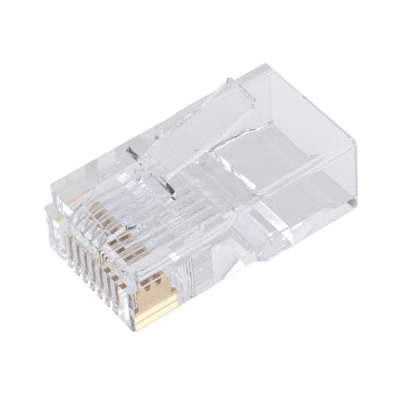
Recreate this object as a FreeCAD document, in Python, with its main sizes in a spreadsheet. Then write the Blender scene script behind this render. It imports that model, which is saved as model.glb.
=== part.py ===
"""Eight-way modular plug: clear moulded housing, sprung latch, two cord clamps and eight contacts.

Frame, in millimetres: +X runs from the mating nose to the cable mouth, Y is the width with the
plug's middle at 0, and +Z points to the latch side.  x = 0 is the front of the nose, and z = 0 is
the surface that the rear block stands on.
"""
import FreeCAD, Part
import math
import os

import Sketcher

# Driving sizes: name, value in mm (or degrees, or a count), meaning.
SIZES = [
    ("plug_length", 21.6, "nose front to rear face"),
    ("plug_width", 11.6, "over the side walls"),
    ("nose_height", 6.6, "contact side to latch side at the nose"),
    ("floor_drop", 0.75, "how far the rear block stands below the nose"),
    ("roof_rise", 0.38, "how far the rear block stands above the nose"),
    ("lip_height", 4.62, "height of the nose's front lip"),
    ("lip_depth", 0.82, "how far the lip stands in front of the upper block"),
    ("floor_ramp_start", 11.9, "where the floor begins to drop"),
    ("floor_ramp_run", 1.1, "length of the ramp in the floor"),
    ("roof_ramp_start", 12.05, "where the roof begins to rise"),
    ("roof_ramp_run", 0.75, "length of the ramp in the roof"),
    ("roof_ramp_corner", 0.9, "corners cut off the ramp in the roof"),
    ("nose_chin", 0.5, "rounding under the nose"),
    ("upright_round", 0.4, "rounding of the upright corners"),
    ("rear_round", 0.36, "rounding along the rear block"),
    ("cheek_proud", 0.1, "how far the cheeks stand out of the sides"),
    ("cheek_top_x", 13.6, "front of a cheek at the roof"),
    ("cheek_low_x", 15.05, "front of a cheek at the floor"),
    ("cheek_margin", 0.5, "plain side left above and below a cheek"),
    ("cheek_bend_high", 4.3, "height above the nose floor where a cheek's front starts to slant"),
    ("cheek_bend_low", 1.85, "height above the nose floor where a cheek's front ends its slant"),
    # cable way
    ("side_wall", 0.77, "side wall beside the cable"),
    ("mouth_floor", 1.0, "floor under the cable mouth"),
    ("mouth_roof", 0.68, "roof over the cable"),
    ("mouth_round", 0.6, "corner radius of the cable's room"),
    ("mouth_depth", 1.6, "length of the wide mouth in front of the rear face"),
    ("lead_run", 1.3, "length of the rise in the floor in front of the mouth"),
    ("chamber_front", 11.3, "front of the wide part of the cable's room"),
    ("chamber_floor", 1.8, "height of the floor under the cable"),
    ("ramp_width", 8.8, "width of the ramp that lifts the wires"),
    ("ramp_head", 9.7, "head of that ramp"),
    ("ramp_roof", 6.35, "height of the roof over the foot of that ramp"),
    ("ramp_roof_run", 1.5, "length of the slope that leads up from that roof"),
    ("funnel_rise", 0.35, "opening above the wire ways at the head of the ramp"),
    # wire ways and contact slots
    ("way_count", 8, "wires and contacts"),
    ("way_pitch", 1.02, "spacing of the wires and contacts"),
    ("way_width", 0.92, "width and height of a wire way"),
    ("way_round", 0.12, "corner radius of a wire way"),
    ("way_level", 4.02, "middle of the wire ways above the nose floor"),
    ("way_front", 1.3, "blind end of the wire ways"),
    ("slot_gap", 0.07, "clearance on each side of a contact"),
    ("slot_front", 0.62, "front end of a contact slot"),
    ("slot_back", 5.3, "rear end of a contact slot at its foot"),
    ("slot_shoulder", 2.05, "height of that rear end above the nose floor"),
    ("slot_shank_gap", 0.12, "clearance in front of a contact's shank"),
    ("slot_head_gap", 0.65, "room over a contact's head, which the crimp uses"),
    ("slot_mouth", 1.15, "height of a slot's opening in the nose front"),
    ("slot_mouth_rise", 0.35, "how much higher that opening is inside"),
    # contacts
    ("contact_thick", 0.35, "sheet thickness of a contact"),
    ("contact_front", 0.75, "front of a contact's head"),
    ("contact_back", 4.69, "rear of a contact's head"),
    ("contact_head", 1.15, "height of a contact's head"),
    ("contact_shank_front", 1.2, "front of the toothed shank"),
    ("contact_shank_back", 4.2, "rear of the toothed shank"),
    ("contact_valley", 2.75, "bottom of the gaps between teeth above the nose floor"),
    ("contact_tip", 3.5, "top of the teeth above the nose floor"),
    ("tooth_count", 3, "teeth on a contact"),
    ("tooth_tip", 0.3, "width of a tooth at its tip"),
    ("tooth_gap", 0.22, "width of a gap at its bottom"),
    ("contact_nose_round", 0.5, "front corner that the socket's spring rides up"),
    ("contact_heel_round", 0.2, "rear corner of the head"),
    # wire clamp and jacket clamp
    ("wire_clamp_front", 6.25, "front of the wire clamp"),
    ("wire_clamp_length", 1.7, "length of the wire clamp"),
    ("wire_clamp_height", 2.35, "height of the wire clamp"),
    ("clamp_recess", 0.15, "how far the clamps lie inside the floor"),
    ("clamp_gap", 0.08, "clearance round a clamp"),
    ("wire_window_width", 8.6, "width of the wire clamp's window"),
    ("groove_depth", 0.3, "depth of the wire clamp's grooves"),
    ("jacket_window_front", 12.0, "front of the jacket clamp's window"),
    ("jacket_window_back", 15.4, "rear of the jacket clamp's window"),
    ("jacket_window_width", 9.6, "width of the jacket clamp's window"),
    ("jacket_crest", 2.4, "height of the jacket clamp's crest"),
    ("jacket_crest_x", 13.55, "place of the crest along the plug"),
    ("jacket_web", 0.5, "thickness of the jacket clamp at its hinge"),
    ("jacket_hinge", 0.85, "height of the jacket clamp's hinge line"),
    # latch
    ("hinge_x", 1.25, "latch hinge line behind the nose front"),
    ("hinge_lift", 0.08, "latch hinge line above the roof"),
    ("hinge_thick", 0.5, "thickness of the latch at its hinge"),
    ("latch_lean", 16.0, "slope of the latch where it leaves the root"),
    ("root_width", 4.1, "width of the latch's root"),
    ("root_front_height", 6.15, "height of the root's front face above the nose floor"),
    ("blade_width", 6.0, "width over the latch's shoulders"),
    ("blade_full_x", 3.6, "where the blade reaches its full width"),
    ("blade_waist_round", 0.8, "rounding in plan where the blade widens"),
    ("neck_length", 1.2, "length of the narrow neck behind the hinge"),
    ("kink_x", 5.13, "where the blade turns up to the shoulders"),
    ("kink_height", 7.42, "height of the blade's underside at the kink above the nose floor"),
    ("kink_thick", 0.62, "upright thickness of the blade at the kink"),
    ("shoulder_x", 6.67, "locking faces of the shoulders"),
    ("shoulder_height", 8.29, "underside of the shoulders above the nose floor"),
    ("shoulder_thick", 0.86, "upright thickness of the shoulders"),
    ("arm_drop", 0.78, "upright thickness of the thumb arm"),
    ("arm_neck_width", 2.9, "width of the arm at the shoulders"),
    ("arm_tip_width", 3.4, "width of the arm at its tip"),
    ("arm_bend_x", 7.9, "first bend of the arm"),
    ("arm_bend_height", 9.9, "top of the arm at its first bend above the nose floor"),
    ("arm_dip_x", 12.2, "second bend of the arm"),
    ("arm_dip_height", 10.7, "top of the arm at its second bend above the nose floor"),
    ("arm_tip_x", 15.4, "tip of the arm"),
    ("arm_tip_height", 12.15, "top of the tip above the nose floor"),
    ("arm_bend_round", 2.5, "radius of the arm's bends"),
    ("arm_corner_round", 0.3, "radius of the arm's corners"),
    ("arm_root_round", 0.4, "radius in plan between the arm and the shoulders"),
    ("well_start", 1.7, "front of the shallow well under the latch"),
    ("well_end", 5.55, "rear end of the well's floor"),
    ("well_ramp", 0.65, "length of the slope that leads out of the well"),
    ("well_side", 0.2, "room beside the latch in the well"),
    ("well_depth", 0.4, "depth of the well"),
]


class Size:
    """A number together with the sheet expression that gives it."""

    def __init__(self, number, words):
        self.number = number
        self.words = words

    @staticmethod
    def of(other):
        if isinstance(other, Size):
            return other
        return Size(float(other), repr(float(other)))

    def __add__(self, other):
        other = Size.of(other)
        return Size(self.number + other.number, f"({self.words} + {other.words})")

    def __sub__(self, other):
        other = Size.of(other)
        return Size(self.number - other.number, f"({self.words} - {other.words})")

    def __mul__(self, other):
        other = Size.of(other)
        return Size(self.number * other.number, f"({self.words} * {other.words})")

    def __truediv__(self, other):
        other = Size.of(other)
        return Size(self.number / other.number, f"({self.words} / {other.words})")

    def __neg__(self):
        return Size(-self.number, f"(-1 * {self.words})")

    def sine(self):
        return Size(math.sin(math.radians(self.number)), f"sin({self.words} * 1 deg)")

    def cosine(self):
        return Size(math.cos(math.radians(self.number)), f"cos({self.words} * 1 deg)")


class Sizes:
    """The sheet's sizes by name."""

    def __init__(self, document):
        sheet = document.addObject("Spreadsheet::Sheet", "Sizes")
        for row, (name, number, meaning) in enumerate(SIZES, start=1):
            sheet.set(f"A{row}", meaning)
            sheet.set(f"B{row}", str(number))
            sheet.setAlias(f"B{row}", name)
            setattr(self, name, Size(number, f"Sizes.{name}"))
        document.recompute()


DOCUMENT = FreeCAD.newDocument("ModularPlug")
S = Sizes(DOCUMENT)
ZERO = Size(0.0, "0")

# Levels and places that several pieces share.
NOSE_FLOOR = S.floor_drop
NOSE_ROOF = S.floor_drop + S.nose_height
REAR_ROOF = NOSE_ROOF + S.roof_rise
LIP_TOP = NOSE_FLOOR + S.lip_height
WAY_LEVEL = NOSE_FLOOR + S.way_level
SLOT_WIDTH = S.contact_thick + S.slot_gap * 2
ROW_HALF = S.way_pitch * (S.way_count - 1) / 2
WIRE_WINDOW_FRONT = S.wire_clamp_front - S.clamp_gap
WIRE_WINDOW_BACK = S.wire_clamp_front + S.wire_clamp_length + S.clamp_gap
HINGE_X = S.hinge_x
HINGE_Z = NOSE_ROOF + S.hinge_lift
HINGE_TOP_X = HINGE_X - S.hinge_thick * S.latch_lean.sine()
HINGE_TOP_Z = HINGE_Z + S.hinge_thick * S.latch_lean.cosine()
OUTSIDE = Size(1.0, "1")


def new_body(label):
    """Start a body whose label is also its file name."""
    body = DOCUMENT.addObject("PartDesign::Body", label)
    body.Label = label
    return body


def origin_feature(body, role):
    """The body's own origin plane or axis with the given role."""
    return next(feature for feature in body.Origin.OriginFeatures if feature.Role == role)


def new_sketch(body, name, plane, lift=ZERO):
    """A sketch on one of the body's origin planes, lifted along that plane's normal."""
    sketch = body.newObject("Sketcher::SketchObject", name)
    sketch.AttachmentSupport = [(origin_feature(body, plane), "")]
    sketch.MapMode = "FlatFace"
    sketch.setExpression("AttachmentOffset.Base.z", lift.words)
    return sketch


def hold(sketch, kind, index, place, size):
    """Fix one coordinate of a point of the sketch to a size."""
    axis = -2 if kind == "DistanceX" else -1
    if size is ZERO:
        sketch.addConstraint(Sketcher.Constraint("PointOnObject", index, place, axis))
        return
    row = sketch.addConstraint(Sketcher.Constraint(kind, -1, 1, index, place, size.number))
    sketch.setExpression(f"Constraints[{row}]", size.words)


def outline(body, name, plane, corners, lift=ZERO):
    """A closed sketch through the corners, each held by two sizes."""
    sketch = new_sketch(body, name, plane, lift)
    count = len(corners)
    for index, (across, up) in enumerate(corners):
        next_across, next_up = corners[(index + 1) % count]
        start = FreeCAD.Vector(across.number, up.number, 0)
        end = FreeCAD.Vector(next_across.number, next_up.number, 0)
        sketch.addGeometry(Part.LineSegment(start, end), False)
    for index in range(count):
        sketch.addConstraint(Sketcher.Constraint("Coincident", index, 2, (index + 1) % count, 1))
    for index, (across, up) in enumerate(corners):
        hold(sketch, "DistanceX", index, 1, across)
        hold(sketch, "DistanceY", index, 1, up)
    return sketch


def rounded_rectangle(body, name, plane, low, high, radius, lift=ZERO):
    """A closed sketch of a rectangle with four equal round corners."""
    sketch = new_sketch(body, name, plane, lift)
    left, bottom, right, top, r = (s.number for s in (*low, *high, radius))
    vector = FreeCAD.Vector
    sides = [
        (vector(left + r, bottom, 0), vector(right - r, bottom, 0)),
        (vector(right, bottom + r, 0), vector(right, top - r, 0)),
        (vector(right - r, top, 0), vector(left + r, top, 0)),
        (vector(left, top - r, 0), vector(left, bottom + r, 0)),
    ]
    centres = [
        vector(right - r, bottom + r, 0),
        vector(right - r, top - r, 0),
        vector(left + r, top - r, 0),
        vector(left + r, bottom + r, 0),
    ]
    for start, end in sides:
        sketch.addGeometry(Part.LineSegment(start, end), False)
    for turn, centre in enumerate(centres):
        circle = Part.Circle(centre, vector(0, 0, 1), r)
        start = math.radians(turn * 90 - 90)
        sketch.addGeometry(Part.ArcOfCircle(circle, start, start + math.radians(90)), False)
    for side in range(4):
        corner = side + 4
        sketch.addConstraint(Sketcher.Constraint("Tangent", side, 2, corner, 1))
        sketch.addConstraint(Sketcher.Constraint("Tangent", corner, 2, (side + 1) % 4, 1))
        if side:
            sketch.addConstraint(Sketcher.Constraint("Equal", 4, corner))
    row = sketch.addConstraint(Sketcher.Constraint("Radius", 4, radius.number))
    sketch.setExpression(f"Constraints[{row}]", radius.words)
    for side in (0, 2):
        sketch.addConstraint(Sketcher.Constraint("Horizontal", side))
    sketch.addConstraint(Sketcher.Constraint("Vertical", 1))
    hold(sketch, "DistanceY", 0, 1, low[1])
    hold(sketch, "DistanceX", 1, 1, high[0])
    hold(sketch, "DistanceY", 2, 1, high[1])
    hold(sketch, "DistanceX", 3, 1, low[0])
    return sketch


def bind(feature, name, size):
    """Tie a property of a feature to a size."""
    feature.setExpression(name, size.words)


def sound(feature):
    """Stop at a feature that failed."""
    if feature.Shape.isNull() or not feature.Shape.isValid():
        raise RuntimeError(f"{feature.Label} failed: {feature.State}")


def pad(body, sketch, length, symmetric=False, backwards=False):
    """Add material from a sketch."""
    feature = body.newObject("PartDesign::Pad", f"{sketch.Name}_pad")
    feature.Profile = sketch
    feature.SideType = "Symmetric" if symmetric else "One side"
    feature.Reversed = backwards
    bind(feature, "Length", length)
    DOCUMENT.recompute()
    sound(feature)
    return feature


def cut(body, sketch, length, symmetric=False, backwards=False):
    """Take material away with a sketch, and make sure that some went."""
    before = body.Shape.Volume
    feature = body.newObject("PartDesign::Pocket", f"{sketch.Name}_cut")
    feature.Profile = sketch
    feature.SideType = "Symmetric" if symmetric else "One side"
    feature.Reversed = backwards
    bind(feature, "Length", length)
    DOCUMENT.recompute()
    if not body.Shape.Volume < before:
        raise RuntimeError(f"{feature.Name} takes nothing away")
    return feature


def row_of(body, feature, count, pitch):
    """Repeat a feature along the width."""
    pattern = body.newObject("PartDesign::LinearPattern", f"{feature.Name}_row")
    pattern.Originals = [feature]
    pattern.Direction = (origin_feature(body, "Y_Axis"), [""])
    pattern.Mode = "Spacing"
    bind(pattern, "Offset", pitch)
    bind(pattern, "Occurrences", count)
    body.Tip = pattern
    DOCUMENT.recompute()
    sound(pattern)
    return pattern


def edges_where(body, wanted):
    """Names of the body's edges that a test picks."""
    return [f"Edge{number}" for number, edge in enumerate(body.Shape.Edges, start=1) if wanted(edge)]


def round_edges(body, name, radius, wanted):
    """Round the edges that a test picks."""
    names = edges_where(body, wanted)
    if not names:
        raise RuntimeError(f"{name} finds no edge")
    base = body.Tip
    feature = body.newObject("PartDesign::Fillet", name)
    feature.Base = (base, names)
    bind(feature, "Radius", radius)
    DOCUMENT.recompute()
    sound(feature)
    return feature


def near(first, second):
    """Whether two lengths are the same."""
    return abs(first - second) < 1e-4


def runs_along(edge, axis):
    """Whether an edge is straight and runs along the x, y or z axis."""
    if not isinstance(edge.Curve, Part.Line):
        return False
    return near(abs(getattr(edge.Curve.Direction, axis)), 1.0)


def middle(edge):
    """The middle of an edge's box."""
    return edge.BoundBox.Center


# ---------------------------------------------------------------------------------------------
# Housing


def housing_ramp_corners(body):
    """Cut the two corners off the ramp in the roof."""
    half = S.plug_width / 2
    front = S.roof_ramp_start
    beyond = S.roof_ramp_corner + OUTSIDE
    for side, turn in (("near", -1), ("far", 1)):
        corner = outline(body, f"ramp_corner_{side}", "XY_Plane", [
            (front, (half - S.roof_ramp_corner) * turn),
            (front + beyond, (half + OUTSIDE) * turn),
            (front, (half + OUTSIDE) * turn),
        ], lift=NOSE_ROOF)
        cut(body, corner, OUTSIDE, backwards=True)


def housing_shell(body):
    """The plug's side outline drawn out to its width, then its outer corners rounded."""
    floor_back = S.floor_ramp_start + S.floor_ramp_run
    roof_back = S.roof_ramp_start + S.roof_ramp_run
    side = outline(body, "side_outline", "XZ_Plane", [
        (ZERO, NOSE_FLOOR),
        (S.floor_ramp_start, NOSE_FLOOR),
        (floor_back, ZERO),
        (S.plug_length, ZERO),
        (S.plug_length, REAR_ROOF),
        (roof_back, REAR_ROOF),
        (S.roof_ramp_start, NOSE_ROOF),
        (S.lip_depth, NOSE_ROOF),
        (S.lip_depth, LIP_TOP),
        (ZERO, LIP_TOP),
    ])
    pad(body, side, S.plug_width, symmetric=True)
    housing_ramp_corners(body)
    half = S.plug_width.number / 2
    lip_x = S.lip_depth.number

    def upright(edge):
        on_front = near(middle(edge).x, 0) or near(middle(edge).x, lip_x)
        return runs_along(edge, "z") and on_front

    def along_rear(edge):
        spot = middle(edge)
        on_side = near(abs(spot.y), half)
        return on_side and runs_along(edge, "x") and spot.x > roof_back.number

    def chin(edge):
        spot = middle(edge)
        return near(spot.x, 0) and near(spot.z, NOSE_FLOOR.number) and runs_along(edge, "y")

    round_edges(body, "upright_corners", S.upright_round, upright)
    round_edges(body, "chin", S.nose_chin, chin)
    round_edges(body, "rear_corners", S.rear_round, along_rear)


def housing_cheeks(body):
    """Low raised cheeks on both sides of the rear block, with slanted fronts."""
    low = S.cheek_margin
    high = REAR_ROOF - S.cheek_margin
    bend_high = NOSE_FLOOR + S.cheek_bend_high
    bend_low = NOSE_FLOOR + S.cheek_bend_low
    cheek = outline(body, "cheek_outline", "XZ_Plane", [
        (S.cheek_low_x, low),
        (S.plug_length, low),
        (S.plug_length, high),
        (S.cheek_top_x, high),
        (S.cheek_top_x, bend_high),
        (S.cheek_low_x, bend_low),
    ])
    pad(body, cheek, S.plug_width + S.cheek_proud * 2, symmetric=True)


def housing_root(body):
    """The block on the lip that carries the latch, ending in the latch's seat."""
    root = outline(body, "root_outline", "XZ_Plane", [
        (ZERO, LIP_TOP),
        (HINGE_X, LIP_TOP),
        (HINGE_X, HINGE_Z),
        (HINGE_TOP_X, HINGE_TOP_Z),
        (ZERO, NOSE_FLOOR + S.root_front_height),
    ])
    pad(body, root, S.root_width, symmetric=True)


def housing_well(body):
    """The shallow well under the latch that lets it be pressed down."""
    above = NOSE_ROOF + OUTSIDE
    floor = NOSE_ROOF - S.well_depth
    back = S.well_end + S.well_ramp
    well = outline(body, "latch_well", "XZ_Plane", [
        (S.well_start, floor),
        (S.well_end, floor),
        (back, NOSE_ROOF),
        (back, above),
        (S.well_start, above),
    ])
    cut(body, well, S.blade_width + S.well_side * 2, symmetric=True)


def housing_cable_room(body):
    """Cable mouth with its lead-in, and the wide room for the cable's jacket."""
    lead_back = S.plug_length - S.mouth_depth
    lead_front = lead_back - S.lead_run
    half = S.plug_width / 2 - S.side_wall
    high = (half, REAR_ROOF - S.mouth_roof)
    mouth_low = (-half, S.mouth_floor)
    room_low = (-half, S.chamber_floor)
    mouth = rounded_rectangle(
        body, "mouth", "YZ_Plane", mouth_low, high, S.mouth_round, lift=lead_back)
    cut(body, mouth, S.mouth_depth, backwards=True)
    before = body.Shape.Volume
    lead_wide = rounded_rectangle(
        body, "lead_wide", "YZ_Plane", mouth_low, high, S.mouth_round, lift=lead_back)
    lead_narrow = rounded_rectangle(
        body, "lead_narrow", "YZ_Plane", room_low, high, S.mouth_round, lift=lead_front)
    lead = body.newObject("PartDesign::SubtractiveLoft", "lead")
    lead.Profile = lead_narrow
    lead.Sections = [lead_wide]
    lead.Ruled = True
    DOCUMENT.recompute()
    if not body.Shape.Volume < before:
        raise RuntimeError("the lead-in takes nothing away")
    room_front = S.chamber_front + S.ramp_roof_run
    room = rounded_rectangle(
        body, "room", "YZ_Plane", room_low, high, S.mouth_round, lift=room_front)
    cut(body, room, lead_front - room_front, backwards=True)


def housing_ramp(body):
    """The front of the cable's room, and the ramp that lifts the wires to their ways."""
    half = S.plug_width / 2 - S.side_wall
    room_front = S.chamber_front + S.ramp_roof_run
    front_room = outline(body, "front_room", "XZ_Plane", [
        (S.chamber_front, S.chamber_floor),
        (room_front, S.chamber_floor),
        (room_front, REAR_ROOF - S.mouth_roof),
        (S.chamber_front, S.ramp_roof),
    ])
    cut(body, front_room, half * 2, symmetric=True)
    ramp = outline(body, "ramp", "XZ_Plane", [
        (S.ramp_head, WAY_LEVEL),
        (S.chamber_front, S.chamber_floor),
        (S.chamber_front, S.ramp_roof),
        (S.ramp_head, WAY_LEVEL + S.way_width / 2 + S.funnel_rise),
    ])
    cut(body, ramp, S.ramp_width, symmetric=True)


def housing_wire_ways(body):
    """Eight square ways with thin walls between them, which lead the wires over the contacts."""
    half = S.way_width / 2
    first = -ROW_HALF
    low = (first - half, WAY_LEVEL - half)
    high = (first + half, WAY_LEVEL + half)
    sketch = rounded_rectangle(
        body, "wire_way", "YZ_Plane", low, high, S.way_round, lift=S.way_front)
    reach = S.ramp_head - S.way_front + S.way_width
    way = cut(body, sketch, reach, backwards=True)
    row_of(body, way, S.way_count, S.way_pitch)


def housing_slots(body):
    """Eight slots for the contacts, open below and at the front of the nose."""
    below = NOSE_FLOOR - OUTSIDE
    mouth = NOSE_FLOOR + S.slot_mouth
    head_top = NOSE_FLOOR + S.contact_head + S.slot_head_gap
    shank_front = S.contact_shank_front - S.slot_shank_gap
    slot_outline = outline(body, "contact_slot", "XZ_Plane", [
        (-OUTSIDE, below),
        (S.slot_back, below),
        (S.slot_back, NOSE_FLOOR + S.slot_shoulder),
        (S.contact_back, WAY_LEVEL),
        (shank_front, WAY_LEVEL),
        (shank_front, head_top),
        (S.slot_front, head_top),
        (S.slot_front, mouth + S.slot_mouth_rise),
        (-OUTSIDE, mouth),
    ], lift=ROW_HALF)
    slot = cut(body, slot_outline, SLOT_WIDTH, symmetric=True)
    row_of(body, slot, S.way_count, S.way_pitch)


def housing_windows(body):
    """The two windows in the floor that hold the wire clamp and the jacket clamp."""
    half = S.wire_window_width / 2
    wire = rounded_rectangle(
        body, "wire_window", "XY_Plane", (WIRE_WINDOW_FRONT, -half), (WIRE_WINDOW_BACK, half),
        S.clamp_gap * 2)
    cut(body, wire, WAY_LEVEL, backwards=True)
    half = S.jacket_window_width / 2
    jacket = rounded_rectangle(
        body, "jacket_window", "XY_Plane", (S.jacket_window_front, -half),
        (S.jacket_window_back, half), S.clamp_gap * 2)
    cut(body, jacket, S.chamber_floor + S.mouth_round, backwards=True)


def make_housing():
    """The clear one-piece moulding."""
    body = new_body("housing")
    housing_shell(body)
    housing_cheeks(body)
    housing_root(body)
    housing_well(body)
    housing_cable_room(body)
    housing_ramp(body)
    housing_wire_ways(body)
    housing_slots(body)
    housing_windows(body)
    return body


# ---------------------------------------------------------------------------------------------
# Latch


def latch_blade(body):
    """The thin blade from the hinge, turned up to the two locking shoulders."""
    kink_z = NOSE_FLOOR + S.kink_height
    shoulder_z = NOSE_FLOOR + S.shoulder_height
    blade = outline(body, "blade_side", "XZ_Plane", [
        (HINGE_X, HINGE_Z),
        (S.kink_x, kink_z),
        (S.shoulder_x, shoulder_z),
        (S.shoulder_x, shoulder_z + S.shoulder_thick),
        (S.kink_x, kink_z + S.kink_thick),
        (HINGE_TOP_X, HINGE_TOP_Z),
    ])
    pad(body, blade, S.blade_width, symmetric=True)


def latch_neck(body):
    """Narrow the blade to the root's width near the hinge, on both sides."""
    root_half = S.root_width / 2
    full_half = S.blade_width / 2
    neck_x = HINGE_X + S.neck_length
    for side, turn in (("near", -1), ("far", 1)):
        cheek = outline(body, f"neck_{side}", "XY_Plane", [
            (-OUTSIDE, root_half * turn),
            (neck_x, root_half * turn),
            (S.blade_full_x, full_half * turn),
            (S.blade_full_x, (full_half + OUTSIDE) * turn),
            (-OUTSIDE, (full_half + OUTSIDE) * turn),
        ])
        cut(body, cheek, NOSE_ROOF + S.nose_height, backwards=True)


def latch_waist(body):
    """Round the blade in plan where it widens from its neck."""
    root_half = S.root_width.number / 2
    full_half = S.blade_width.number / 2
    neck = (HINGE_X.number + S.neck_length.number, root_half)
    full = (S.blade_full_x.number, full_half)

    def at_waist(edge):
        spot = middle(edge)
        places = (near(spot.x, x) and near(abs(spot.y), y) for x, y in (neck, full))
        return runs_along(edge, "z") and any(places)

    round_edges(body, "blade_waist", S.blade_waist_round, at_waist)


def latch_arm(body):
    """The thumb arm: its side outline drawn out, cut to its taper, bends and corners rounded."""
    kink_top = NOSE_FLOOR + S.kink_height + S.kink_thick
    tops = [
        (S.kink_x, kink_top),
        (S.arm_bend_x, NOSE_FLOOR + S.arm_bend_height),
        (S.arm_dip_x, NOSE_FLOOR + S.arm_dip_height),
        (S.arm_tip_x, NOSE_FLOOR + S.arm_tip_height),
    ]
    under = [(x, z - S.arm_drop) for x, z in tops[1:]]
    low_start = (S.kink_x, kink_top - S.kink_thick / 2)
    arm = outline(body, "arm_side", "XZ_Plane", [*tops, *reversed(under), low_start])
    pad(body, arm, S.arm_tip_width, symmetric=True)
    full = S.arm_tip_width / 2
    neck = S.arm_neck_width / 2
    for side, turn in (("near", -1), ("far", 1)):
        taper = outline(body, f"arm_taper_{side}", "XY_Plane", [
            (S.shoulder_x, neck * turn),
            (S.arm_tip_x, full * turn),
            (S.arm_tip_x, (full + OUTSIDE) * turn),
            (S.shoulder_x, (full + OUTSIDE) * turn),
        ])
        beyond = S.nose_height * 3
        cut(body, taper, beyond, backwards=True)
    bends = [S.arm_bend_x.number, S.arm_dip_x.number]

    def is_bend(edge):
        return runs_along(edge, "y") and any(near(middle(edge).x, x) for x in bends)

    def is_tip_corner(edge):
        upright = runs_along(edge, "z")
        return upright and near(middle(edge).x, S.arm_tip_x.number)

    def is_root_corner(edge):
        spot = middle(edge)
        at_root = near(spot.x, S.shoulder_x.number) and near(abs(spot.y), neck.number)
        return runs_along(edge, "z") and at_root

    round_edges(body, "arm_bends", S.arm_bend_round, is_bend)
    round_edges(body, "arm_corners", S.arm_corner_round, is_tip_corner)
    round_edges(body, "arm_root", S.arm_root_round, is_root_corner)


def make_latch():
    """The sprung latch."""
    body = new_body("latch")
    latch_blade(body)
    latch_neck(body)
    latch_waist(body)
    latch_arm(body)
    return body


# ---------------------------------------------------------------------------------------------
# Clamps


def make_wire_clamp():
    """The bar that the crimp drives up against the eight wires, grooved to hold them."""
    body = new_body("wire_clamp")
    low = NOSE_FLOOR + S.clamp_recess
    high = low + S.wire_clamp_height
    back = S.wire_clamp_front + S.wire_clamp_length
    side = outline(body, "wire_clamp_side", "XZ_Plane", [
        (S.wire_clamp_front, low),
        (back, low),
        (back, high),
        (S.wire_clamp_front, high),
    ])
    pad(body, side, S.wire_window_width - S.clamp_gap * 2, symmetric=True)
    sketch = new_sketch(body, "groove", "YZ_Plane", lift=S.wire_clamp_front)
    radius = S.way_width / 2
    level = high + radius - S.groove_depth
    start = -ROW_HALF
    centre = FreeCAD.Vector(start.number, level.number, 0)
    sketch.addGeometry(Part.Circle(centre, FreeCAD.Vector(0, 0, 1), radius.number), False)
    hold(sketch, "DistanceX", 0, 3, start)
    hold(sketch, "DistanceY", 0, 3, level)
    row = sketch.addConstraint(Sketcher.Constraint("Radius", 0, radius.number))
    sketch.setExpression(f"Constraints[{row}]", radius.words)
    groove = cut(body, sketch, S.wire_clamp_length, backwards=True)
    row_of(body, groove, S.way_count, S.way_pitch)
    return body


def make_jacket_clamp():
    """The wedge that swings up on its front edge and bites into the cable's jacket."""
    body = new_body("jacket_clamp")
    front = S.jacket_window_front + S.clamp_gap
    back = S.jacket_window_back - S.clamp_gap * 2
    half_web = S.jacket_web / 2
    wedge = outline(body, "jacket_clamp_side", "XZ_Plane", [
        (front, S.jacket_hinge),
        (front + half_web, S.jacket_hinge - half_web),
        (front + S.jacket_web, S.clamp_recess),
        (back, S.clamp_recess),
        (S.jacket_crest_x + S.jacket_web, S.jacket_crest),
        (S.jacket_crest_x, S.jacket_crest),
        (front + half_web, S.jacket_hinge + half_web),
    ])
    pad(body, wedge, S.jacket_window_width - S.clamp_gap * 2, symmetric=True)
    return body


# ---------------------------------------------------------------------------------------------
# Contacts


def contact_corners():
    """A contact's outline: a head that the socket touches, and a shank with pointed teeth."""
    low = NOSE_FLOOR
    head = low + S.contact_head
    valley = NOSE_FLOOR + S.contact_valley
    tip = NOSE_FLOOR + S.contact_tip
    pitch = (S.contact_shank_back - S.contact_shank_front) / S.tooth_count
    corners = [
        (S.contact_front, low),
        (S.contact_back, low),
        (S.contact_back, head),
        (S.contact_shank_back, head),
    ]
    teeth = int(S.tooth_count.number)
    for number in range(teeth):
        back = S.contact_shank_back - pitch * number
        centre = back - pitch / 2
        rear_foot = back if number == 0 else back - S.tooth_gap / 2
        front_foot = back - pitch + (ZERO if number == teeth - 1 else S.tooth_gap / 2)
        corners += [
            (rear_foot, valley),
            (centre + S.tooth_tip / 2, tip),
            (centre - S.tooth_tip / 2, tip),
            (front_foot, valley),
        ]
    return corners + [(S.contact_shank_front, head), (S.contact_front, head)]


def make_contact(number):
    """One gold-plated blade contact, in its slot."""
    body = new_body(f"contact_{number + 1}")
    blade = outline(body, f"contact_{number + 1}_side", "XZ_Plane", contact_corners())
    pad(body, blade, S.contact_thick, symmetric=True)

    def corner_at(x):
        def wanted(edge):
            spot = middle(edge)
            return runs_along(edge, "y") and near(spot.x, x) and near(spot.z, NOSE_FLOOR.number)
        return wanted

    round_edges(body, f"contact_{number + 1}_nose", S.contact_nose_round,
                corner_at(S.contact_front.number))
    round_edges(body, f"contact_{number + 1}_heel", S.contact_heel_round,
                corner_at(S.contact_back.number))
    place = S.way_pitch * number - ROW_HALF
    body.setExpression("Placement.Base.y", place.words)
    return body


# ---------------------------------------------------------------------------------------------


def check(document, pieces):
    """Stop if any object failed or any piece is not one sound solid."""
    document.recompute()
    for thing in document.Objects:
        if any(word in ("Invalid", "Error") for word in thing.State):
            raise RuntimeError(f"{thing.Label} failed: {thing.State}")
    for piece in pieces:
        shape = piece.Shape
        if shape.isNull() or not shape.isValid() or len(shape.Solids) != 1:
            raise RuntimeError(f"{piece.Label} is not one sound solid")


def export(pieces):
    """Write each piece to its own file."""
    os.makedirs("parts", exist_ok=True)
    for piece in pieces:
        piece.Shape.exportStep(os.path.join("parts", f"{piece.Label}.step"))
        print(f"{piece.Label}: {piece.Shape.Volume:.3f} mm3")


def main():
    """Build, check and write every piece."""
    pieces = [make_housing(), make_latch(), make_wire_clamp(), make_jacket_clamp()]
    for number in range(int(S.way_count.number)):
        pieces.append(make_contact(number))
    check(DOCUMENT, pieces)
    export(pieces)


main()
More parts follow.
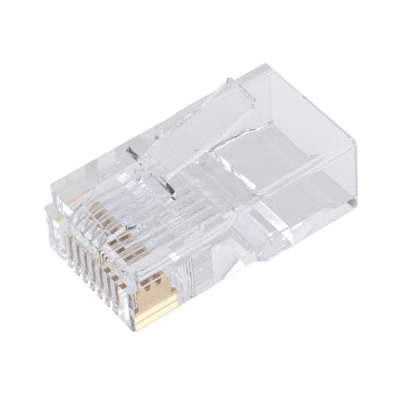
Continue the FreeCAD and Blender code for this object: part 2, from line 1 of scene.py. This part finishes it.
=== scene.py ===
"""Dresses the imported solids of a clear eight-way modular plug, and lights them on a pale floor."""
import logging
import math
from dataclasses import dataclass, field
from enum import Enum
from typing import Sequence

import bmesh
import bpy
from mathutils import Matrix, Vector
from mathutils.kdtree import KDTree


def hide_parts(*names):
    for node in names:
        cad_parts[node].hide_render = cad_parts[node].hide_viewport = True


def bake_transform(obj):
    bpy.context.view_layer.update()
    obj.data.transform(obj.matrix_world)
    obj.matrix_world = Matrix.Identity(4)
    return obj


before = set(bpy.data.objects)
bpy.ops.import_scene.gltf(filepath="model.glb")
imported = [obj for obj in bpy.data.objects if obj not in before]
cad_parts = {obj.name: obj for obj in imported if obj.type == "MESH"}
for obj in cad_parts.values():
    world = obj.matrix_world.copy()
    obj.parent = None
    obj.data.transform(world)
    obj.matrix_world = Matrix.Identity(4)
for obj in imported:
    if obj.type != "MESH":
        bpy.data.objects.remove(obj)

LOG = logging.getLogger("modular_plug")
MM = 0.001
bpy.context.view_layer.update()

# The curve between an sRGB value and linear light: a straight toe, then a power.
TOE_END = 0.04045
TOE_SLOPE = 12.92
CURVE_OFFSET = 0.055
CURVE_POWER = 2.4

# The colour that a Mix node gives out, among its outputs that share a name.
MIXED_COLOUR = 2


def srgb(code: str) -> tuple[float, float, float, float]:
    """Turn an sRGB hex colour into linear light.

    Args:
        code: six hex digits, such as "E8C48A".

    Returns:
        Red, green and blue in linear light, and an alpha of 1.
    """
    parts = [int(code[i:i + 2], 16) / 255 for i in (0, 2, 4)]
    linear = [
        part / TOE_SLOPE if part <= TOE_END
        else ((part + CURVE_OFFSET) / (1 + CURVE_OFFSET)) ** CURVE_POWER
        for part in parts
    ]
    return (*linear, 1.0)


def add_node(tree: bpy.types.NodeTree, kind: str, settings: dict | None = None,
             **links: object) -> bpy.types.Node:
    """Add one node with its settings and its links.

    Args:
        tree: the node tree that takes the node.
        kind: Blender's name of the node's type.
        settings: attributes of the node, and values of its sockets by their names.
        links: an output socket or a plain value for each input, by its name with _ for a space,
            or by in_ and its number where several share a name. A Mix of two colours takes
            them at in_6 and in_7, and its factor at in_0.

    Returns:
        The new node.
    """
    node = tree.nodes.new(kind)
    for name, value in (settings or {}).items():
        if name in node.inputs:
            node.inputs[name].default_value = value
        else:
            setattr(node, name, value)
    for name, value in links.items():
        numbered = name.startswith("in_")
        socket = node.inputs[int(name[3:]) if numbered else name.replace("_", " ")]
        if isinstance(value, bpy.types.NodeSocket):
            tree.links.new(value, socket)
        else:
            socket.default_value = value
    return node


class Polish(Enum):
    """How finely the cavity of the mould was polished, as the roughness that it leaves."""

    MIRROR = 0.03
    FINE = 0.05


@dataclass(frozen=True)
class Finish:
    """What a surface is made of and how it was made."""

    name: str
    colour: str

    def fresh(self) -> tuple[bpy.types.Material, bpy.types.NodeTree]:
        """Make an empty node material.

        Returns:
            The material and its node tree.
        """
        material = bpy.data.materials.new(self.name)
        material.use_nodes = True
        material.node_tree.nodes.clear()
        return material, material.node_tree


@dataclass(frozen=True)
class ClearPolycarbonate(Finish):
    """Injection-moulded clear polycarbonate: glossy, nearly without colour, a trace of haze."""

    polish: Polish = Polish.MIRROR
    ior: float = 1.585
    clarity: float = 1.0
    ripple_mm: float = 2.6
    ripple_height_mm: float = 0.02
    ripple_strength: float = 0.03
    ripple_detail: float = 1.0
    cloud_mm: float = 5.0
    cloud_colour: str = "FAFAFD"

    def material(self) -> bpy.types.Material:
        """Build the material.

        Returns:
            The material.
        """
        material, tree = self.fresh()
        place = add_node(tree, "ShaderNodeTexCoord")
        # The melt sets with slow waves in the skin, which bend what shows through it.
        ripple = add_node(tree, "ShaderNodeTexNoise",
                          {"Scale": 1 / (self.ripple_mm * MM), "Detail": self.ripple_detail},
                          Vector=place.outputs["Object"])
        bump = add_node(tree, "ShaderNodeBump", {"Strength": self.ripple_strength,
                                                 "Distance": self.ripple_height_mm * MM},
                        Height=ripple.outputs["Fac"])
        # Stress in the cooled plastic clouds it with a slightly warmer or cooler white.
        cloud = add_node(tree, "ShaderNodeTexNoise", {"Scale": 1 / (self.cloud_mm * MM)},
                         Vector=place.outputs["Object"])
        tint = add_node(tree, "ShaderNodeMix", {"data_type": "RGBA"},
                        in_0=cloud.outputs["Fac"], in_6=srgb(self.colour),
                        in_7=srgb(self.cloud_colour))
        shader = add_node(tree, "ShaderNodeBsdfPrincipled", {
            "Roughness": self.polish.value,
            "IOR": self.ior,
            "Transmission Weight": self.clarity,
        }, Base_Color=tint.outputs[MIXED_COLOUR], Normal=bump.outputs["Normal"])
        add_node(tree, "ShaderNodeOutputMaterial", Surface=shader.outputs["BSDF"])
        return material


@dataclass(frozen=True)
class GoldPlate(Finish):
    """Thin gold over nickel on stamped phosphor bronze: pale, warm, drawn along the strip."""

    roughness: float = 0.24
    smoothest: float = 0.7
    roughest: float = 1.4
    # The real grain is finer, and this is as coarse as it needs to be to show.
    grain_mm: float = 0.1
    grain_height_mm: float = 0.004
    grain_strength: float = 0.12
    grain_stretch: float = 0.12
    # The real radius is about a third of this, too small to show.
    edge_mm: float = 0.07
    edge_samples: int = 6
    shear_colour: str = "E2C08C"

    def material(self) -> bpy.types.Material:
        """Build the material.

        Returns:
            The material.
        """
        material, tree = self.fresh()
        place = add_node(tree, "ShaderNodeTexCoord")
        # Rolling leaves a fine grain along the strip that the blades are stamped from.
        stretch = add_node(tree, "ShaderNodeMapping", {"Scale": (self.grain_stretch, 1.0, 1.0)},
                           Vector=place.outputs["Object"])
        grain = add_node(tree, "ShaderNodeTexNoise", {"Scale": 1 / (self.grain_mm * MM)},
                         Vector=stretch.outputs["Vector"])
        gloss = add_node(tree, "ShaderNodeMapRange", {"To Min": self.roughness * self.smoothest,
                                                      "To Max": self.roughness * self.roughest},
                         Value=grain.outputs["Fac"])
        # The punch rounds the edges of the blade a little, so they catch the light.
        edge = add_node(tree, "ShaderNodeBevel", {"Radius": self.edge_mm * MM,
                                                  "samples": self.edge_samples})
        bump = add_node(tree, "ShaderNodeBump", {"Strength": self.grain_strength,
                                                 "Distance": self.grain_height_mm * MM},
                        Height=grain.outputs["Fac"], Normal=edge.outputs["Normal"])
        # The plating is thin and darker where the punch sheared the bronze, all round the
        # blade. Its two flat sides face across the plug.
        form = add_node(tree, "ShaderNodeNewGeometry")
        split = add_node(tree, "ShaderNodeSeparateXYZ", Vector=form.outputs["Normal"])
        side = add_node(tree, "ShaderNodeMath", {"operation": "ABSOLUTE"},
                        in_0=split.outputs["Y"])
        tone = add_node(tree, "ShaderNodeMix", {"data_type": "RGBA"},
                        in_0=side.outputs["Value"], in_6=srgb(self.shear_colour),
                        in_7=srgb(self.colour))
        shader = add_node(tree, "ShaderNodeBsdfPrincipled", {"Metallic": 1.0},
                          Base_Color=tone.outputs[MIXED_COLOUR],
                          Roughness=gloss.outputs["Result"],
                          Normal=bump.outputs["Normal"])
        add_node(tree, "ShaderNodeOutputMaterial", Surface=shader.outputs["BSDF"])
        return material


@dataclass(frozen=True)
class LitAcrylic(Finish):
    """Opal acrylic sheet lit from below: an even white where it is seen bare, with a dimmer glow
    behind the plastic as painted shade that greys the plastic.
    """

    roughness: float = 0.9
    gloss: float = 0.2
    glow_colour: str = "FFFFFF"
    glow: float = 0.85
    # The weaker glow of the sheet where it is seen behind the plastic, painted shade that greys the
    # plastic.
    painted_shade_glow_behind_plastic: float = 0.53

    def material(self) -> bpy.types.Material:
        """Build the material.

        Returns:
            The material.
        """
        material, tree = self.fresh()
        # Painted shade: the sheet glows less as a ground behind the plastic than where it is seen
        # bare, which greys the plastic.
        path = add_node(tree, "ShaderNodeLightPath")
        glow = add_node(tree, "ShaderNodeMapRange", {"To Min": self.painted_shade_glow_behind_plastic,
                                                     "To Max": self.glow},
                        Value=path.outputs["Is Camera Ray"])
        shader = add_node(tree, "ShaderNodeBsdfPrincipled", {
            "Base Color": srgb(self.colour),
            "Roughness": self.roughness,
            "Specular IOR Level": self.gloss,
            "Emission Color": srgb(self.glow_colour),
        }, Emission_Strength=glow.outputs["Result"])
        add_node(tree, "ShaderNodeOutputMaterial", Surface=shader.outputs["BSDF"])
        return material


@dataclass(frozen=True)
class FlockedCard(Finish):
    """Black flocked paper: fibres that stand up and give back almost no light."""

    def material(self) -> bpy.types.Material:
        """Build the material.

        Returns:
            The material.
        """
        material, tree = self.fresh()
        shader = add_node(tree, "ShaderNodeBsdfDiffuse", {"Color": srgb(self.colour)})
        add_node(tree, "ShaderNodeOutputMaterial", Surface=shader.outputs["BSDF"])
        return material


MOULDED = ClearPolycarbonate("polycarbonate_moulded", "FBFCFE")
CLAMP_MOULDED = ClearPolycarbonate("polycarbonate_clamps", "FBFCFE", polish=Polish.FINE)
PLATED = GoldPlate("gold_plated_bronze", "FFE6BE")
SHEET = LitAcrylic("opal_acrylic_lit", "A0A0A0")
CARD = FlockedCard("black_flock", "0C0C0D")


def wear(piece: bpy.types.Object, material: bpy.types.Material) -> None:
    """Make a material the only one of a piece."""
    piece.data.materials.clear()
    piece.data.materials.append(material)


@dataclass
class ClearMoulding:
    """The housing with its latch, one shot of plastic that bends at the living hinge."""

    finish: ClearPolycarbonate = MOULDED
    # Points nearer than this are one point of the skin.
    seam_gap: float = 0.002 * MM
    # An edge that turns by more degrees than this is sharp.
    crease_angle: float = 30.0
    # How strongly the largest face at a point sets its normal, out of 100.
    flat_weight: int = 100
    # The bend's direction: how far it leans to the nose, and its first and last height.
    tilt: float = 0.1
    bend_start: float = 7.33 * MM
    bend_end: float = 7.6 * MM

    def shared(self, first: bmesh.types.BMesh, second: bmesh.types.BMesh) -> set[int]:
        """Find the points of the first mesh that lie on a point of the second.

        Args:
            first: the mesh whose points are asked for.
            second: the mesh that they are held against.

        Returns:
            The numbers of the points.
        """
        tree = KDTree(len(second.verts))
        for vert in second.verts:
            tree.insert(vert.co, vert.index)
        tree.balance()
        return {v.index for v in first.verts if tree.find(v.co)[2] < self.seam_gap}

    def opened(self, name: str, other: str) -> bmesh.types.BMesh:
        """Copy a solid's mesh without the face where it seats on the other solid.

        Args:
            name: the solid.
            other: the solid that it seats on.

        Returns:
            The open mesh.
        """
        mesh, against = bmesh.new(), bmesh.new()
        mesh.from_mesh(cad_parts[name].data)
        against.from_mesh(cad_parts[other].data)
        seat = self.shared(mesh, against)
        faces = [f for f in mesh.faces if all(v.index in seat for v in f.verts)]
        LOG.info("%s: %d faces of the seat taken out", name, len(faces))
        bmesh.ops.delete(mesh, geom=faces, context="FACES_ONLY")
        against.free()
        return mesh

    def build(self) -> None:
        """Join the two solids at the hinge into one skin."""
        skin = bmesh.new()
        for name, other in (("housing", "latch"), ("latch", "housing")):
            part = self.opened(name, other)
            data = bpy.data.meshes.new(name + "_open")
            part.to_mesh(data)
            part.free()
            skin.from_mesh(data)
            bpy.data.meshes.remove(data)
        bmesh.ops.remove_doubles(skin, verts=skin.verts, dist=self.seam_gap)
        for face in skin.faces:
            face.smooth = True
        for edge in skin.edges:
            edge.smooth = edge.is_manifold and (
                edge.calc_face_angle() < math.radians(self.crease_angle))
        LOG.info("open edges of the moulding: %d",
                 sum(not edge.is_manifold for edge in skin.edges))
        mesh = bpy.data.meshes.new("clear_moulding")
        skin.to_mesh(mesh)
        skin.free()
        piece = bpy.data.objects.new("clear_moulding", mesh)
        bpy.context.scene.collection.objects.link(piece)
        wear(piece, self.finish.material())
        # Large flat faces keep flat normals, so the rounded ones beside them carry the curve.
        flats = piece.modifiers.new("flats_stay_flat", "WEIGHTED_NORMAL")
        flats.keep_sharp = True
        flats.weight = self.flat_weight
        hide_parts("housing", "latch")
        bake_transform(piece)


@dataclass
class Clamps:
    """The bars that are pressed up against the wires and against the cable's jacket."""

    nodes: Sequence[str] = ("wire_clamp", "jacket_clamp")
    finish: ClearPolycarbonate = CLAMP_MOULDED

    def build(self) -> None:
        """Give both bars their finish."""
        material = self.finish.material()
        for name in self.nodes:
            wear(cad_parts[name], material)


@dataclass
class ContactRow:
    """The eight blade contacts."""

    count: int = 8
    finish: GoldPlate = PLATED

    def build(self) -> None:
        """Give every contact its finish."""
        material = self.finish.material()
        for number in range(1, self.count + 1):
            wear(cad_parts[f"contact_{number}"], material)


@dataclass(frozen=True)
class BlackCard:
    """A small black card beside the plug, which darkens the faces that reflect it."""

    name: str
    centre_mm: tuple[float, float, float]
    width_mm: float
    height_mm: float

    def stand(self, aim: Vector, material: bpy.types.Material) -> None:
        """Stand the card at its place, facing the plug.

        Args:
            aim: the point that it faces.
            material: its finish.
        """
        centre = Vector(self.centre_mm) * MM
        facing = (aim - centre).normalized()
        across = Vector((0.0, 0.0, 1.0)).cross(facing).normalized() * self.width_mm / 2 * MM
        up = facing.cross(across).normalized() * self.height_mm / 2 * MM
        mesh = bpy.data.meshes.new(self.name)
        corners = [centre - across - up, centre + across - up,
                   centre + across + up, centre - across + up]
        mesh.from_pydata(corners, [], [(0, 1, 2, 3)])
        mesh.materials.append(material)
        card = bpy.data.objects.new(self.name, mesh)
        card.visible_camera = False
        bpy.context.scene.collection.objects.link(card)


@dataclass(frozen=True)
class SoftLight:
    """A square panel of diffuse light."""

    name: str
    place_mm: tuple[float, float, float]
    size_mm: float
    watts: float

    def hang(self, aim: Vector) -> None:
        """Hang the light at its place, facing the plug.

        Args:
            aim: the point that it faces.
        """
        data = bpy.data.lights.new(self.name, "AREA")
        data.size = self.size_mm * MM
        data.energy = self.watts
        lamp = bpy.data.objects.new(self.name, data)
        lamp.location = Vector(self.place_mm) * MM
        lamp.rotation_mode = "QUATERNION"
        lamp.rotation_quaternion = (aim - lamp.location).to_track_quat("-Z", "Y")
        bpy.context.scene.collection.objects.link(lamp)


@dataclass
class Studio:
    """The floor, the lights, the cards and the camera, in metres and degrees."""

    floor_size: float = 4.0
    # The floor lies this far below the plug, so that no two faces coincide.
    floor_gap: float = 0.02 * MM
    surround_colour: str = "FAFBFD"
    surround: float = 0.85
    lights: Sequence[SoftLight] = (
        SoftLight("key_light", (95.0, -110.0, 190.0), 110.0, 0.03),
        SoftLight("rear_light", (160.0, 115.0, 22.0), 90.0, 0.025),
    )
    cards: Sequence[BlackCard] = (
        BlackCard("card_left", (-25.0, 22.5, 10.6), 7.9, 14.0),
        BlackCard("card_front", (-22.9, -22.3, 24.0), 8.0, 11.0),
        BlackCard("card_low", (-20.4, 30.5, 3.6), 1.4, 1.4),
    )
    aim: Vector = field(default_factory=lambda: Vector((11.0, 0.0, 4.0)) * MM)
    azimuth: float = -32.938
    elevation: float = 46.454
    roll: float = -4.874
    distance: float = 179.0 * MM
    # What the view takes in across, at the distance of the aim.
    frame_width: float = 30.968 * MM
    # How far the aim lies right of the middle of the view, and above it.
    offset: tuple[float, float] = (0.23946 * MM, 0.31812 * MM)
    sensor_width_mm: float = 36.0
    nearest: float = 5 * MM
    farthest: float = 10.0
    # The light crosses many walls of plastic before it leaves the plug.
    wall_bounces: int = 48
    mirror_bounces: int = 24
    matt_bounces: int = 16

    def lay_floor(self) -> None:
        """Lay a wide pale floor at the height that the plug stands on."""
        half = self.floor_size / 2
        mesh = bpy.data.meshes.new("floor")
        corners = [(-half, -half, 0), (half, -half, 0), (half, half, 0), (-half, half, 0)]
        mesh.from_pydata(corners, [], [(0, 1, 2, 3)])
        floor = bpy.data.objects.new("floor", mesh)
        floor.location.z = -self.floor_gap
        mesh.materials.append(SHEET.material())
        bpy.context.scene.collection.objects.link(floor)

    def light(self) -> None:
        """Set an even surround, the soft lights and the black cards."""
        world = bpy.data.worlds.new("surround")
        world.use_nodes = True
        world.node_tree.nodes.clear()
        glow = add_node(world.node_tree, "ShaderNodeBackground", {
            "Color": srgb(self.surround_colour), "Strength": self.surround})
        add_node(world.node_tree, "ShaderNodeOutputWorld", Surface=glow.outputs["Background"])
        bpy.context.scene.world = world
        for panel in self.lights:
            panel.hang(self.aim)
        card_finish = CARD.material()
        for card in self.cards:
            card.stand(self.aim, card_finish)

    def place_camera(self) -> None:
        """Stand the camera at its bearing, height, roll and distance."""
        data = bpy.data.cameras.new("camera")
        data.sensor_width = self.sensor_width_mm
        data.lens = data.sensor_width * self.distance / self.frame_width
        data.clip_start = self.nearest
        data.clip_end = self.farthest
        az, el = math.radians(self.azimuth), math.radians(self.elevation)
        back = Vector((math.sin(az) * math.cos(el), -math.cos(az) * math.cos(el), math.sin(el)))
        right = Vector((math.cos(az), math.sin(az), 0.0))
        up = back.cross(right)
        turn = Matrix.Rotation(math.radians(self.roll), 3, back)
        right, up = turn @ right, turn @ up
        camera = bpy.data.objects.new("camera", data)
        pose = Matrix((right, up, back)).transposed().to_4x4()
        shift = -right * self.offset[0] - up * self.offset[1]
        pose.translation = self.aim + shift + back * self.distance
        camera.matrix_world = pose
        bpy.context.scene.collection.objects.link(camera)
        bpy.context.scene.camera = camera

    def build(self) -> None:
        """Set the whole studio up."""
        self.lay_floor()
        self.light()
        self.place_camera()
        scene = bpy.context.scene
        scene.view_settings.view_transform = "Standard"
        scene.cycles.max_bounces = self.wall_bounces
        scene.cycles.transmission_bounces = self.wall_bounces
        scene.cycles.glossy_bounces = self.mirror_bounces
        scene.cycles.diffuse_bounces = self.matt_bounces


def main() -> None:
    """Dress the plug and set up the studio."""
    logging.basicConfig(level=logging.INFO)
    ClearMoulding().build()
    LOG.info("housing and latch dressed")
    Clamps().build()
    LOG.info("clamps dressed")
    ContactRow().build()
    LOG.info("contacts dressed")
    Studio().build()
    LOG.info("studio set up")


if __name__ == "__main__":
    main()
